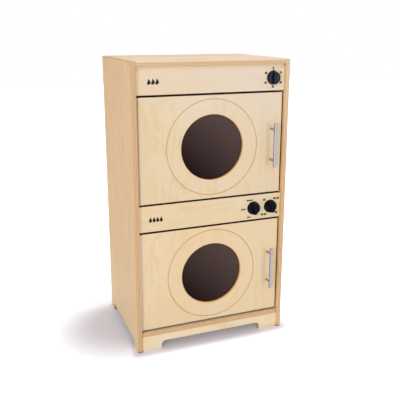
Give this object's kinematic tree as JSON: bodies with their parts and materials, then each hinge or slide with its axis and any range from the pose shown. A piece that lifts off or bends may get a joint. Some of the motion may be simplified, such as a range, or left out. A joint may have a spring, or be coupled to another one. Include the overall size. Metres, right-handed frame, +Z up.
{
  "type": "toy washer and dryer cabinet",
  "caption": "Free-standing play washer and dryer in birch plywood: stacked storeys with round-windowed hinged doors, bar handles, magnetic catches and turning dials.",
  "frame": {"origin": "centre of the whole object's footprint, handles included, on the floor", "axes": "+Z up, the doors face -Y, +X to the right as seen from the front"},
  "size_m": [0.52, 0.403, 0.93],
  "materials": {
    "birch_ply": "clear satin lacquer on birch plywood, ply edges left showing",
    "birch_dowel": "raw fluted dowel",
    "smoked_acrylic": "polished smoked acrylic",
    "brushed_steel": "brushed satin nickel",
    "hinge_steel": "nickel-plated strip",
    "zinc_steel": "bright zinc plate",
    "black_knob": "glossy black moulding",
    "white_plastic": "moulded nylon",
    "magnet": "sintered ferrite"
  },
  "bodies": {
    "cabinet": {"left_side_panel": "birch_ply", "right_side_panel": "birch_ply", "top_panel": "birch_ply", "middle_shelf": "birch_ply", "bottom_shelf": "birch_ply", "back_panel": "birch_ply", "toe_kick": "birch_ply", "dryer_fascia": "birch_ply", "washer_fascia": "birch_ply", "carcass_dowels": "birch_dowel", "back_panel_screws": "zinc_steel", "knob_bushings": "white_plastic", "frame_leaf_screws": "zinc_steel", "catch_magnets": "magnet", "catch_pole_plates": "zinc_steel", "catch_screws": "zinc_steel", "dryer_frame_leaf": "hinge_steel", "dryer_hinge_pin": "zinc_steel", "dryer_catch_housing": "white_plastic", "washer_frame_leaf": "hinge_steel", "washer_hinge_pin": "zinc_steel", "washer_catch_housing": "white_plastic"},
    "dryer_door": {"dryer_door_panel": "birch_ply", "dryer_window": "smoked_acrylic", "dryer_window_washers": "zinc_steel", "dryer_window_screws": "zinc_steel", "dryer_door_leaf": "hinge_steel", "dryer_leaf_screws": "zinc_steel", "dryer_handle_bar": "brushed_steel", "dryer_handle_posts": "brushed_steel", "dryer_handle_bolts": "zinc_steel", "dryer_strike_plate": "zinc_steel", "dryer_strike_screw": "zinc_steel"},
    "washer_door": {"washer_door_panel": "birch_ply", "washer_window": "smoked_acrylic", "washer_window_washers": "zinc_steel", "washer_window_screws": "zinc_steel", "washer_door_leaf": "hinge_steel", "washer_leaf_screws": "zinc_steel", "washer_handle_bar": "brushed_steel", "washer_handle_posts": "brushed_steel", "washer_handle_bolts": "zinc_steel", "washer_strike_plate": "zinc_steel", "washer_strike_screw": "zinc_steel"},
    "dryer_dial": {"dryer_knob": "black_knob", "dryer_knob_spindle": "zinc_steel", "dryer_knob_washer": "zinc_steel", "dryer_knob_nut": "zinc_steel"},
    "washer_left_dial": {"washer_left_knob": "black_knob", "washer_left_spindle": "zinc_steel", "washer_left_washer": "zinc_steel", "washer_left_nut": "zinc_steel"},
    "washer_right_dial": {"washer_right_knob": "black_knob", "washer_right_spindle": "zinc_steel", "washer_right_washer": "zinc_steel", "washer_right_nut": "zinc_steel"}
  },
  "joints": [
    {"name": "dryer_door_hinge", "type": "hinge", "parent": "cabinet", "child": "dryer_door", "pos_m": [-0.24225, -0.168, 0.6605], "axis": [0, 0, -1], "range_deg": [0, 110]},
    {"name": "washer_door_hinge", "type": "hinge", "parent": "cabinet", "child": "washer_door", "pos_m": [-0.24225, -0.168, 0.2355], "axis": [0, 0, -1], "range_deg": [0, 110]},
    {"name": "dryer_knob_turn", "type": "hinge", "parent": "cabinet", "child": "dryer_dial", "pos_m": [0.206, -0.1665, 0.8715], "axis": [0, -1, 0], "continuous": true},
    {"name": "washer_left_knob_turn", "type": "hinge", "parent": "cabinet", "child": "washer_left_dial", "pos_m": [0.1475, -0.1665, 0.4465], "axis": [0, -1, 0], "continuous": true},
    {"name": "washer_right_knob_turn", "type": "hinge", "parent": "cabinet", "child": "washer_right_dial", "pos_m": [0.209, -0.1665, 0.4465], "axis": [0, -1, 0], "continuous": true}
  ]
}
